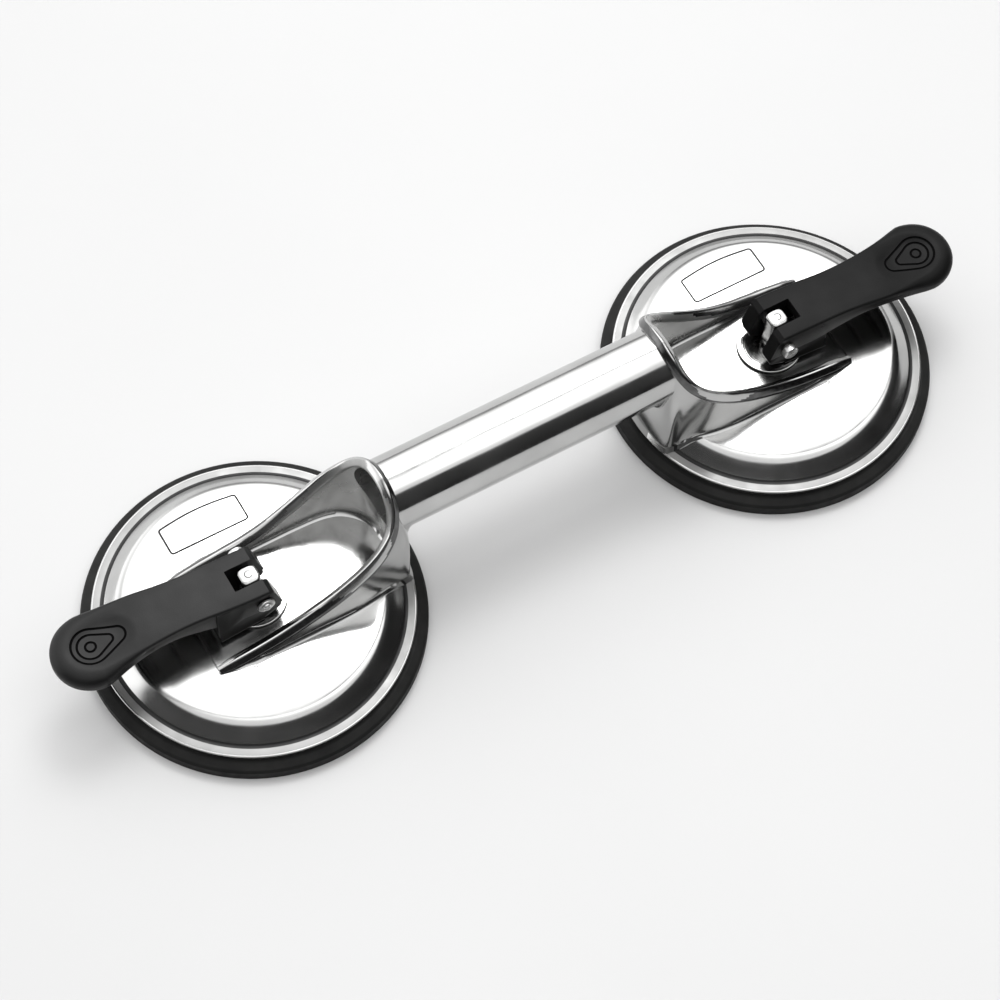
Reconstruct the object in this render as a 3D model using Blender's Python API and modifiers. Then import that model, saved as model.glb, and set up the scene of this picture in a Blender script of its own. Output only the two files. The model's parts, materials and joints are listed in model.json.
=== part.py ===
"""Two-cup vacuum lifter: a cast aluminium handle bridge over two rubber pads with clamping levers.

Frame: +X along the handle, +Z up, origin on the floor at the middle of the handle.
Each cup is drawn once in its own frame (x outward from the cup's centre) and used at both ends,
the second time turned half a turn about Z.
"""
import math

import bmesh
import bpy
from mathutils import Matrix, Vector

# Driving dimensions, in metres
CUP_SPACING = 0.205
PAD_RADIUS = 0.059
DISC_RADIUS = 0.055
RIM_BOTTOM = 0.0064
RIM_TOP = 0.009
DOME_TOP = 0.0155
PLATFORM_TOP = 0.016
CAVITY_TOP = 0.0126
HANDLE_RADIUS = 0.013
HANDLE_HEIGHT = 0.0435
HANDLE_BORE = 0.0108
BORE_END = 0.035
COLLAR_X = -0.0485
BEAD_RADIUS = 0.0021
PIN_HEIGHT = 0.0288
PIN_RADIUS = 0.0017
STUD_WIDTH = 0.0076
STUD_TOP = 0.0348
STUD_CLEARANCE = 0.0005
STUD_BEVEL = 0.001
LEVER_TOP = 0.0356
LEVER_HALF_WIDTH = 0.0095
TIP_RADIUS = 0.0134
GAP = 0.0003

SIDES = (("right", 1), ("left", -1))
HALF_SPACING = CUP_SPACING / 2
ROUND_STEPS = 64
SMALL_STEPS = 32
HANDLE_STEPS = 48
MERGE_DISTANCE = 0.00001
SHARP_ANGLE = math.radians(40)
CUTTER_REACH = 0.02

# Pad, backing plate, nut and washer
PAD_TOP = 0.0077
PLATE_THICKNESS = 0.0016
PLATE_BOTTOM = PAD_TOP + GAP
PLATE_TOP = PLATE_BOTTOM + PLATE_THICKNESS
PLATE_RADIUS = 0.036
PLATE_EDGE = 0.0004
TAIL_RADIUS = 0.004
TAIL_OVERLAP = 0.002
NUT_RADIUS = 0.0075
NUT_BOTTOM = PLATE_TOP + GAP
NUT_TOP = CAVITY_TOP - GAP
NUT_SIDES = 6
WASHER_BOTTOM = PLATFORM_TOP + GAP
WASHER_TOP = WASHER_BOTTOM + 0.001
WASHER_RADIUS = 0.0115
WASHER_HOLE = 0.0059

# Cross pin and its clip, measured outward from the lever's middle
PIN_HEAD_RADIUS = 0.0027
PIN_HEAD_START = LEVER_HALF_WIDTH + GAP
PIN_HEAD_END = 0.0126
PIN_TAIL_END = 0.0120
CLIP_START = LEVER_HALF_WIDTH + GAP
CLIP_END = CLIP_START + 0.0010
CLIP_RADIUS = 0.0031

# Side view of the lever's forked heel, x outward and z up from the floor
HEEL_OUTLINE = (
    (-0.0031, LEVER_TOP),
    (-0.0066, 0.0226),
    (-0.0058, 0.0208),
    (-0.0003, 0.0179),
    (0.0168, 0.0179),
    (0.0175, 0.0190),
    (0.0175, LEVER_TOP),
)
HEEL_BEVEL = 0.0007
SLOT_HALF_WIDTH = 0.0042
SLOT_END = 0.0080

# Stations of the lever's arm: distance from the cup's centre, sideways shift of the middle
# line, half width and height of the underside. The last station is the centre of the round tip.
ARM_STATIONS = (
    (0.0100, 0.0000, 0.0094, 0.0230),
    (0.0160, -0.0005, 0.0094, 0.0243),
    (0.0230, -0.0010, 0.0092, 0.0266),
    (0.0300, -0.0015, 0.0094, 0.0286),
    (0.0380, -0.0019, 0.0101, 0.0298),
    (0.0440, -0.0019, 0.0107, 0.0297),
    (0.0500, -0.0017, 0.0117, 0.0290),
    (0.0555, -0.0014, 0.0129, 0.0282),
    (0.0585, -0.0012, TIP_RADIUS, 0.0279),
)
ARM_SAMPLES = 20
ARM_EDGE = 0.0020
# Turns round the tip, in degrees, and how far the nose has closed in at each
TIP_TURNS = (
    (15, 0.0), (30, 0.0), (45, 0.0), (57, 0.0001), (67, 0.0003), (76, 0.0008), (83, 0.0015), (88, 0.0024))

# Foot of everything that grows out of the disc, buried in the rim
BURIED_FOOT = 0.0075

# Stations of the horseshoe wall, from its outboard corner to the middle of the collar:
# rim line (x, y, z), foot of the outer face (x, y), foot of the inner face (x, y),
# and how far the outer face has moved in from its foot at a third of its height
WALL_STATIONS = (
    ((0.0222, 0.0182, 0.0152), (0.0224, 0.0195), (0.0222, 0.0172), 0.70),
    ((0.0120, 0.0184, 0.0170), (0.0120, 0.0203), (0.0120, 0.0172), 0.70),
    ((0.0020, 0.0184, 0.0188), (0.0020, 0.0206), (0.0020, 0.0172), 0.70),
    ((-0.0060, 0.0182, 0.0206), (-0.0060, 0.0207), (-0.0060, 0.0172), 0.70),
    ((-0.0140, 0.0182, 0.0234), (-0.0140, 0.0208), (-0.0140, 0.0172), 0.70),
    ((-0.0220, 0.0184, 0.0275), (-0.0220, 0.0208), (-0.0220, 0.0172), 0.70),
    ((-0.0300, 0.0184, 0.0327), (-0.0300, 0.0203), (-0.0300, 0.0170), 0.65),
    ((-0.0360, 0.0180, 0.0374), (-0.0370, 0.0193), (-0.0360, 0.0163), 0.55),
    ((-0.0410, 0.0168, 0.0421), (-0.0430, 0.0176), (-0.0410, 0.0146), 0.40),
    ((-0.0448, 0.0146, 0.0467), (-0.0480, 0.0162), (-0.0450, 0.0114), 0.20),
    ((-0.0472, 0.0110, 0.0513), (-0.0516, 0.0152), (-0.0476, 0.0076), 0.05),
    ((-0.0483, 0.0058, 0.0555), (-0.0532, 0.0095), (-0.0489, 0.0038), 0.0),
    ((COLLAR_X, 0.0, 0.0570), (-0.0536, 0.0), (-0.0493, 0.0), 0.0),
)
WALL_SAMPLES = 26
WALL_HALF_THICKNESS = 0.0013
MIN_WALL_HEIGHT = 0.002
FLARE_HEIGHT = 0.35
INNER_BELLY_HEIGHT = 0.45
INNER_BELLY_SHIFT = 0.55
BEAD_TAPER_LENGTH = 0.3
BEAD_END_SCALE = 0.6


def clear_scene():
    for item in list(bpy.data.objects):
        bpy.data.objects.remove(item, do_unlink=True)


def new_collection(name):
    collection = bpy.data.collections.new(name)
    bpy.context.scene.collection.children.link(collection)
    return collection


def new_material(name, color, roughness, metallic):
    material = bpy.data.materials.new(name)
    material.use_nodes = True
    shader = material.node_tree.nodes["Principled BSDF"]
    shader.inputs["Base Color"].default_value = (*color, 1.0)
    shader.inputs["Roughness"].default_value = roughness
    shader.inputs["Metallic"].default_value = metallic
    return material


def new_object(name, mesh, collection, material=None):
    item = bpy.data.objects.new(name, mesh)
    collection.objects.link(item)
    if material:
        mesh.materials.append(material)
    return item


def place(item, side, height=0.0):
    """Put a piece drawn in a cup's own frame at that cup's end of the handle."""
    item.location = (side * HALF_SPACING, 0.0, height)
    item.rotation_euler = (0.0, 0.0, 0.0 if side > 0 else math.pi)
    return item


def make_guide(item):
    item.hide_render = True
    item.display_type = "WIRE"
    return item


def add_boolean(item, other, operation):
    modifier = item.modifiers.new(f"{operation.lower()}_{other.name}", "BOOLEAN")
    modifier.operation = operation
    modifier.solver = "EXACT"
    modifier.object = make_guide(other)


def mesh_from_bmesh(name, shape):
    bmesh.ops.recalc_face_normals(shape, faces=shape.faces)
    mesh = bpy.data.meshes.new(name)
    shape.to_mesh(mesh)
    shape.free()
    return mesh


def turned(name, profile, collection, material=None, closed=False, steps=ROUND_STEPS):
    """Turn a profile of (radius, height) points, listed down its outer side, about Z."""
    count = len(profile)
    edges = [(i, i + 1) for i in range(count - 1)]
    if closed:
        edges.append((count - 1, 0))
    mesh = bpy.data.meshes.new(name)
    mesh.from_pydata([(r, 0.0, z) for r, z in profile], edges, [])
    item = new_object(name, mesh, collection, material)
    screw = item.modifiers.new("turn", "SCREW")
    screw.axis = "Z"
    screw.steps = steps
    screw.render_steps = steps
    screw.use_merge_vertices = True
    screw.merge_threshold = MERGE_DISTANCE
    screw.use_smooth_shade = True
    return item


def ring(name, inner, outer, bottom, top, collection, material, steps=ROUND_STEPS):
    profile = [(inner, top), (outer, top), (outer, bottom), (inner, bottom)]
    return turned(name, profile, collection, material, closed=True, steps=steps)


def box(name, low, high, collection, material=None):
    shape = bmesh.new()
    bmesh.ops.create_cube(shape, size=1.0)
    size = Vector(high) - Vector(low)
    centre = (Vector(high) + Vector(low)) / 2
    matrix = Matrix.Translation(centre) @ Matrix.Diagonal((*size, 1.0))
    bmesh.ops.transform(shape, matrix=matrix, verts=shape.verts)
    return new_object(name, mesh_from_bmesh(name, shape), collection, material)


def rod(name, radius, start, end, axis, collection, material=None, steps=SMALL_STEPS):
    """A round rod from start to end along the X, Y or Z axis, centred on that axis."""
    shape = bmesh.new()
    bmesh.ops.create_cone(
        shape, cap_ends=True, segments=steps, radius1=radius, radius2=radius, depth=end - start)
    turns = {
        "X": Matrix.Rotation(math.pi / 2, 4, "Y"),
        "Y": Matrix.Rotation(-math.pi / 2, 4, "X"),
        "Z": Matrix.Identity(4),
    }
    directions = {"X": Vector((1, 0, 0)), "Y": Vector((0, 1, 0)), "Z": Vector((0, 0, 1))}
    shift = Matrix.Translation(directions[axis] * (start + end) / 2)
    bmesh.ops.transform(shape, matrix=shift @ turns[axis], verts=shape.verts)
    item = new_object(name, mesh_from_bmesh(name, shape), collection, material)
    item.data.shade_smooth()
    item.data.set_sharp_from_angle(angle=SHARP_ANGLE)
    return item


def loft(name, sections, collection, material=None):
    """Skin a row of closed sections that have the same number of points, and cap both ends."""
    shape = bmesh.new()
    rows = [[shape.verts.new(point) for point in section] for section in sections]
    count = len(rows[0])
    for row, following in zip(rows, rows[1:]):
        for i in range(count):
            j = (i + 1) % count
            shape.faces.new((row[i], row[j], following[j], following[i]))
    shape.faces.new(rows[0])
    shape.faces.new(reversed(rows[-1]))
    item = new_object(name, mesh_from_bmesh(name, shape), collection, material)
    item.data.shade_smooth()
    item.data.set_sharp_from_angle(angle=SHARP_ANGLE)
    return item


def spline_point(points, position):
    """Catmull-Rom curve through the points; position runs from 0 to the last index."""
    index = min(int(position), len(points) - 2)
    t = position - index
    before = Vector(points[max(index - 1, 0)])
    start = Vector(points[index])
    end = Vector(points[index + 1])
    after = Vector(points[min(index + 2, len(points) - 1)])
    linear = (end - before) * t
    square = (before * 2 - start * 5 + end * 4 - after) * t ** 2
    cube = (start * 3 - before - end * 3 + after) * t ** 3
    return (start * 2 + linear + square + cube) / 2


def smooth_step(value):
    value = min(max(value, 0.0), 1.0)
    return value * value * (3.0 - 2.0 * value)


# ---------------------------------------------------------------- casting

def dome_profile():
    """Outer face of the disc: flat rim, fillet, convex shoulder, nearly flat top."""
    return [
        (0.0, DOME_TOP),
        (0.028, DOME_TOP - 0.00015),
        (0.036, DOME_TOP - 0.0003),
        (0.042, DOME_TOP - 0.0005),
        (0.044, DOME_TOP - 0.0008),
        (0.046, DOME_TOP - 0.0016),
        (0.0475, DOME_TOP - 0.0028),
        (0.0508, RIM_TOP + 0.0003),
        (0.0520, RIM_TOP),
        (DISC_RADIUS - 0.0006, RIM_TOP),
        (DISC_RADIUS, RIM_TOP - 0.0006),
        (DISC_RADIUS, RIM_BOTTOM),
        (0.0, RIM_BOTTOM),
    ]


def cavity_profile():
    """Hollow under the disc, which the pad's middle is drawn up into."""
    return [
        (0.0, CAVITY_TOP),
        (0.024, CAVITY_TOP),
        (0.036, CAVITY_TOP - 0.0008),
        (0.044, CAVITY_TOP - 0.0023),
        (0.0485, CAVITY_TOP - 0.0044),
        (0.0500, RIM_BOTTOM),
        (0.0500, -CUTTER_REACH),
        (0.0, -CUTTER_REACH),
    ]


def wall_section(position):
    rim = spline_point([station[0] for station in WALL_STATIONS], position)
    outer = spline_point([(*station[1], 0.0) for station in WALL_STATIONS], position)
    inner = spline_point([(*station[2], 0.0) for station in WALL_STATIONS], position)
    flare = spline_point([(station[3], 0.0, 0.0) for station in WALL_STATIONS], position).x
    outward = (outer - inner).normalized()
    crest = Vector((rim.x, rim.y, 0.0))
    outer_crest = crest + outward * WALL_HALF_THICKNESS
    inner_crest = crest - outward * WALL_HALF_THICKNESS
    floor = min(PLATFORM_TOP, rim.z - MIN_WALL_HEIGHT)
    rise = rim.z - floor
    outer_mid = outer.lerp(outer_crest, flare)
    inner_mid = inner.lerp(inner_crest, INNER_BELLY_SHIFT)
    return [
        (outer.x, outer.y, BURIED_FOOT),
        (outer_mid.x, outer_mid.y, floor + rise * FLARE_HEIGHT),
        (outer_crest.x, outer_crest.y, rim.z),
        (inner_crest.x, inner_crest.y, rim.z),
        (inner_mid.x, inner_mid.y, floor + rise * INNER_BELLY_HEIGHT),
        (inner.x, inner.y, BURIED_FOOT),
    ]


def both_sides(half):
    """Complete a row of points or sections that starts at the +Y corner and ends on Y = 0."""
    def flip(entry):
        if isinstance(entry, list):
            return [flip(point) for point in entry]
        return (entry[0], -entry[1], entry[2])
    return half + [flip(entry) for entry in reversed(half[:-1])]


def wall_positions():
    last = len(WALL_STATIONS) - 1
    return [last * i / WALL_SAMPLES for i in range(WALL_SAMPLES + 1)]


def make_wall(name, collection):
    half = [wall_section(position) for position in wall_positions()]
    return loft(name, both_sides(half), collection)


def make_bead(name, collection):
    """Rounded rim of the horseshoe wall, thinner towards its two outboard ends."""
    rims = [station[0] for station in WALL_STATIONS]
    points = both_sides([tuple(spline_point(rims, position)) for position in wall_positions()])
    curve = bpy.data.curves.new(name, "CURVE")
    curve.dimensions = "3D"
    curve.bevel_depth = BEAD_RADIUS
    curve.bevel_resolution = 3
    curve.use_fill_caps = True
    spline = curve.splines.new("POLY")
    spline.points.add(len(points) - 1)
    for i, point in enumerate(points):
        along = min(i, len(points) - 1 - i) / WALL_SAMPLES
        growth = smooth_step(along / BEAD_TAPER_LENGTH)
        spline.points[i].co = (*point, 1.0)
        spline.points[i].radius = BEAD_END_SCALE + (1 - BEAD_END_SCALE) * growth
    return curve_to_mesh(name, curve, collection)


def curve_to_mesh(name, curve, collection):
    """Turn a capped curve into a welded mesh object, so that it can be joined to others."""
    source = bpy.data.objects.new(f"{name}_curve", curve)
    collection.objects.link(source)
    evaluated = source.evaluated_get(bpy.context.evaluated_depsgraph_get())
    mesh = bpy.data.meshes.new_from_object(evaluated)
    shape = bmesh.new()
    shape.from_mesh(mesh)
    bmesh.ops.remove_doubles(shape, verts=shape.verts, dist=MERGE_DISTANCE)
    bmesh.ops.recalc_face_normals(shape, faces=shape.faces)
    shape.to_mesh(mesh)
    shape.free()
    item = new_object(name, mesh, collection)
    item.matrix_world = source.matrix_world
    bpy.data.objects.remove(source, do_unlink=True)
    return item


def make_platform(name, collection):
    """Flat floor inside the horseshoe, as wide as the middle of its wall."""
    outline = []
    for position in wall_positions():
        section = wall_section(position)
        middle = (Vector(section[0]) + Vector(section[-1])) / 2
        outline.append((middle.x, middle.y, 0.0))
    ring_points = both_sides(outline)
    low = [(x, y, BURIED_FOOT) for x, y, _ in ring_points]
    high = [(x, y, PLATFORM_TOP) for x, y, _ in ring_points]
    return loft(name, [low, high], collection)


def applied_mesh(item):
    """The item's mesh with its modifiers applied."""
    return bpy.data.meshes.new_from_object(item.evaluated_get(bpy.context.evaluated_depsgraph_get()))


def make_cup_body(guides):
    """Hollow disc with its platform and horseshoe wall, in a cup's own frame."""
    body = turned("cup_body", dome_profile(), guides)
    add_boolean(body, make_platform("platform", guides), "UNION")
    wall = make_wall("wall", guides)
    add_boolean(wall, make_bead("bead", guides), "UNION")
    add_boolean(body, wall, "UNION")
    add_boolean(body, turned("cavity", cavity_profile(), guides), "DIFFERENCE")
    half = STUD_WIDTH / 2 + STUD_CLEARANCE
    hole = box("stud_hole", (-half, -half, 0.0), (half, half, PLATFORM_TOP + CUTTER_REACH), guides)
    add_boolean(body, hole, "DIFFERENCE")
    return applied_mesh(make_guide(body))


def make_casting(parts, guides, material):
    """One piece: handle tube, two collars with horseshoe walls, and two hollow discs."""
    half_length = HALF_SPACING + COLLAR_X - GAP
    casting = rod("casting", HANDLE_RADIUS, -half_length, half_length, "X", parts, material, HANDLE_STEPS)
    casting.location.z = HANDLE_HEIGHT
    body_mesh = make_cup_body(guides)
    for name, side in SIDES:
        body = new_object(f"cup_body_{name}", body_mesh, guides)
        add_boolean(casting, place(body, side), "UNION")
    reach = HALF_SPACING - BORE_END
    bore = rod("handle_bore", HANDLE_BORE, -reach, reach, "X", guides, steps=HANDLE_STEPS)
    bore.location.z = HANDLE_HEIGHT
    add_boolean(casting, bore, "DIFFERENCE")


# ---------------------------------------------------------------- cup pieces


def make_pad(name, side, parts, material):
    """Rubber pad with its sealing lip on the floor and its middle drawn up."""
    profile = [
        (0.0, PAD_TOP),
        (0.0380, PAD_TOP),
        (0.0400, PAD_TOP - 0.0010),
        (0.0460, 0.0046),
        (0.0485, 0.0046),
        (0.0496, RIM_BOTTOM - GAP),
        (0.0560, RIM_BOTTOM - GAP),
        (0.0582, 0.0051),
        (PAD_RADIUS, 0.0043),
        (PAD_RADIUS, 0.0),
        (0.0505, 0.0),
        (0.0460, 0.0012),
        (0.0400, 0.0033),
        (0.0370, 0.0038),
        (0.0, 0.0038),
    ]
    place(turned(f"suction_pad_{name}", profile, parts, material), side)


def make_plate(name, side, parts, material):
    inner = TAIL_RADIUS + GAP
    profile = [
        (inner, PLATE_TOP),
        (PLATE_RADIUS - PLATE_EDGE, PLATE_TOP),
        (PLATE_RADIUS, PLATE_TOP - PLATE_EDGE),
        (PLATE_RADIUS, PLATE_BOTTOM),
        (inner, PLATE_BOTTOM),
    ]
    place(turned(f"backing_plate_{name}", profile, parts, material, closed=True), side)


def make_nut(name, side, parts, guides, material):
    nut = rod(f"stud_nut_{name}", NUT_RADIUS, NUT_BOTTOM, NUT_TOP, "Z", parts, material, NUT_SIDES)
    thread = rod(f"nut_thread_{name}", TAIL_RADIUS + GAP, 0.0, CUTTER_REACH, "Z", guides)
    add_boolean(place(nut, side), place(thread, side), "DIFFERENCE")


def make_stud(name, side, parts, guides, material):
    """Square draw stud with a round tail through the nut and the plate."""
    half = STUD_WIDTH / 2
    low = (-half, -half, CAVITY_TOP)
    high = (half, half, STUD_TOP)
    stud = box(f"draw_stud_{name}", low, high, parts, material)
    bevel = stud.modifiers.new("edges", "BEVEL")
    bevel.width = STUD_BEVEL
    bevel.segments = 3
    tail = rod(f"stud_tail_{name}", TAIL_RADIUS, PLATE_BOTTOM, CAVITY_TOP + TAIL_OVERLAP, "Z", guides)
    hole = rod(f"stud_cross_hole_{name}", PIN_RADIUS + GAP, -CUTTER_REACH, CUTTER_REACH, "Y", guides)
    add_boolean(place(stud, side), place(tail, side), "UNION")
    add_boolean(stud, place(hole, side, PIN_HEIGHT), "DIFFERENCE")


def make_washer(name, side, parts, material):
    washer = ring(
        f"wear_washer_{name}", WASHER_HOLE, WASHER_RADIUS, WASHER_BOTTOM, WASHER_TOP, parts, material)
    place(washer, side)


def make_pin(name, side, parts, guides, material):
    """Cross pin with its head at -Y in the cup's own frame."""
    pin = rod(f"pivot_pin_{name}", PIN_RADIUS, -PIN_TAIL_END, PIN_TAIL_END, "Y", parts, material)
    head = rod(f"pin_head_{name}", PIN_HEAD_RADIUS, -PIN_HEAD_END, -PIN_HEAD_START, "Y", guides)
    place(pin, side, PIN_HEIGHT)
    add_boolean(pin, place(head, side, PIN_HEIGHT), "UNION")


def make_clip(name, side, parts, guides, material):
    clip = rod(f"pin_clip_{name}", CLIP_RADIUS, CLIP_START, CLIP_END, "Y", parts, material)
    hole = rod(f"clip_hole_{name}", PIN_RADIUS + GAP, 0.0, CUTTER_REACH, "Y", guides)
    place(clip, side, PIN_HEIGHT)
    add_boolean(clip, place(hole, side, PIN_HEIGHT), "DIFFERENCE")


# ---------------------------------------------------------------- lever, drawn from its pin's axis

def arm_station(position):
    """Distance, sideways shift, half width and underside of the arm at a place along its stations."""
    middle = spline_point([(station[0], station[1], 0.0) for station in ARM_STATIONS], position)
    size = spline_point([(station[2], station[3], 0.0) for station in ARM_STATIONS], position)
    return middle.x, middle.y, size.x, size.y


def arm_section(x, shift, half, underside, inset=0.0):
    """Rounded section of the arm; inset closes it in near the tip."""
    top = LEVER_TOP - inset - PIN_HEIGHT
    bottom = underside + inset - PIN_HEIGHT
    radius = min(ARM_EDGE, half * 0.5, (top - bottom) * 0.45)
    section = []
    corners = ((half, top, 0), (-half, top, 90), (-half, bottom, 180), (half, bottom, 270))
    for y, z, start in corners:
        centre_y = shift + y - math.copysign(radius, y)
        centre_z = z - radius if z == top else z + radius
        for step in range(3):
            angle = math.radians(start + 45 * step)
            section.append((x, centre_y + radius * math.cos(angle), centre_z + radius * math.sin(angle)))
    return section


def make_arm(name, collection):
    last = len(ARM_STATIONS) - 1
    sections = [arm_section(*arm_station(last * i / ARM_SAMPLES)) for i in range(ARM_SAMPLES + 1)]
    centre, shift, _, underside = ARM_STATIONS[-1]
    for degrees, inset in TIP_TURNS:
        turn = math.radians(degrees)
        x = centre + TIP_RADIUS * math.sin(turn)
        sections.append(arm_section(x, shift, TIP_RADIUS * math.cos(turn), underside, inset))
    return loft(name, sections, collection)


def make_heel(name, collection, material):
    """Forked base of the lever: its side outline, as wide as the arm."""
    near = [(x, -LEVER_HALF_WIDTH, z - PIN_HEIGHT) for x, z in HEEL_OUTLINE]
    far = [(x, LEVER_HALF_WIDTH, z - PIN_HEIGHT) for x, z in HEEL_OUTLINE]
    heel = loft(name, [near, far], collection, material)
    bevel = heel.modifiers.new("edges", "BEVEL")
    bevel.width = HEEL_BEVEL
    bevel.segments = 2
    bevel.limit_method = "ANGLE"
    return heel


def make_lever(name, side, parts, guides, material):
    lever = make_heel(f"lever_{name}", parts, material)
    arm = make_arm(f"lever_arm_{name}", guides)
    low = (-CUTTER_REACH, -SLOT_HALF_WIDTH, -CUTTER_REACH)
    high = (SLOT_END, SLOT_HALF_WIDTH, CUTTER_REACH)
    slot = box(f"lever_slot_{name}", low, high, guides)
    hole = rod(f"lever_cross_hole_{name}", PIN_RADIUS + GAP, -CUTTER_REACH, CUTTER_REACH, "Y", guides)
    place(lever, side, PIN_HEIGHT)
    add_boolean(lever, place(arm, side, PIN_HEIGHT), "UNION")
    add_boolean(lever, place(slot, side, PIN_HEIGHT), "DIFFERENCE")
    add_boolean(lever, place(hole, side, PIN_HEIGHT), "DIFFERENCE")


def main():
    clear_scene()
    parts = new_collection("vacuum_suction_cup")
    guides = new_collection("cutters")
    aluminium = new_material("cast_aluminium", (0.80, 0.80, 0.80), 0.16, 1.0)
    rubber = new_material("black_rubber", (0.018, 0.018, 0.018), 0.62, 0.0)
    plastic = new_material("black_plastic", (0.022, 0.022, 0.023), 0.38, 0.0)
    steel = new_material("bright_steel", (0.62, 0.62, 0.63), 0.25, 1.0)
    make_casting(parts, guides, aluminium)
    for name, side in SIDES:
        make_pad(name, side, parts, rubber)
        make_plate(name, side, parts, steel)
        make_nut(name, side, parts, guides, steel)
        make_stud(name, side, parts, guides, steel)
        make_washer(name, side, parts, steel)
        make_pin(name, side, parts, guides, steel)
        make_clip(name, side, parts, guides, steel)
        make_lever(name, side, parts, guides, plastic)


main()
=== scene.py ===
"""Looks of a two-cup vacuum lifter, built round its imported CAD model.

Lengths are in metres. The pieces of a cup are drawn in the cup's own frame, with x outward from
the cup's centre and z up from the floor, and are placed at both ends of the handle. The casting
is drawn once as its right half's cup, and mirrored.
"""
import json
import math

import bmesh
import bpy
import numpy as np
from mathutils import Matrix, Vector, noise


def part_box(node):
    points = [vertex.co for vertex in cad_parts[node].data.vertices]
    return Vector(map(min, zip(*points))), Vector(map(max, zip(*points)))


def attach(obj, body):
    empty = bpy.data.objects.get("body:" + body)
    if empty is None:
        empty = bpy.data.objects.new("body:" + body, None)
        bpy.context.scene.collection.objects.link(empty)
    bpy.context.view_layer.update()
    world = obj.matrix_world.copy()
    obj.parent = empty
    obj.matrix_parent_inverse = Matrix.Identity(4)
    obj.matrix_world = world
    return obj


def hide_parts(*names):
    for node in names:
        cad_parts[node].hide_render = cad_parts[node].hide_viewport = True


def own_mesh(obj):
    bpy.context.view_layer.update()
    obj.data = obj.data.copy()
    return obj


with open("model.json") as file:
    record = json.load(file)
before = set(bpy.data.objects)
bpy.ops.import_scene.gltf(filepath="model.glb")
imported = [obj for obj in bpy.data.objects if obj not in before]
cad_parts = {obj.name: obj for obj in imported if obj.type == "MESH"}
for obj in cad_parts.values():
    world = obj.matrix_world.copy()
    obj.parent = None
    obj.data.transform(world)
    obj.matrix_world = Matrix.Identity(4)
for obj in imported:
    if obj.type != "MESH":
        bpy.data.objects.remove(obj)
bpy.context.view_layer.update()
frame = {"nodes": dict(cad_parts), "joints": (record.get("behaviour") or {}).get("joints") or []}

# ---------------- sizes

PIVOT = next(joint for joint in frame["joints"] if joint["name"] == "lever_right_pivot")
HALF_SPACING = PIVOT["pos_m"][0]
PIN_HEIGHT = PIVOT["pos_m"][2]
TO_PIN = Matrix.Translation((0, 0, PIN_HEIGHT))

CASTING_LOW, CASTING_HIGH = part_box("casting")
PAD_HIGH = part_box("suction_pad_right")[1]
LEVER_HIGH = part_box("lever_right")[1]
WASHER_LOW, WASHER_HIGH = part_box("wear_washer_right")
STUD_LOW, STUD_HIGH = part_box("draw_stud_right")
PIN_LOW, PIN_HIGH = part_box("pivot_pin_right")
CLIP_LOW, CLIP_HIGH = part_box("pin_clip_right")

SIDES = (("right", 1), ("left", -1))

# Casting
DISC_RADIUS = CASTING_HIGH.y
RIM_BOTTOM = CASTING_LOW.z
RIM_TOP = 0.009
PLATFORM_TOP = 0.016
CAVITY_TOP = 0.0126
HANDLE_RADIUS = 0.013
HANDLE_HEIGHT = 0.0435
HANDLE_BORE = 0.0119
BORE_FLOOR = 0.0430
BORE_END = 0.035
COLLAR_X = -0.0485
BURIED_FOOT = 0.0078
STUD_HOLE = 0.0043

# Faceted grip: number of flats, how far in their middles lie, and how sharp their creases are
HANDLE_SIDES = 12
HANDLE_FLATS = 0.978
HANDLE_CREASE = 34

# Outer face of the disc, from its middle to the rim's edge, as (radius, height)
DISC_CROWN = (
    (0.0, 0.0155), (0.015, 0.01548), (0.028, 0.01538), (0.036, 0.01523), (0.0405, 0.0151),
    (0.0425, 0.01495), (0.0442, 0.01465), (0.0458, 0.01385), (0.0474, 0.0125), (0.0492, 0.0108),
    (0.0508, 0.00935), (0.0514, 0.00905), (0.0521, RIM_TOP), (0.0532, RIM_TOP - 0.00004),
    (0.0544, RIM_TOP - 0.00012))
# Hollow under the disc, from the rim's foot to the middle, as (radius, height)
DISC_HOLLOW = (
    (0.0500, RIM_BOTTOM), (0.0485, 0.0082), (0.044, 0.0103), (0.036, 0.0118), (0.024, CAVITY_TOP),
    (0.0, CAVITY_TOP))
# Flat rim: where the painted shade of the inner corner and the satin ring start, and where the ring ends
CORNER_START = 0.0506
SATIN_RIM = 0.0520
RIM_EDGE = 0.0544
RIM_BAND = 0.0012

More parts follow.
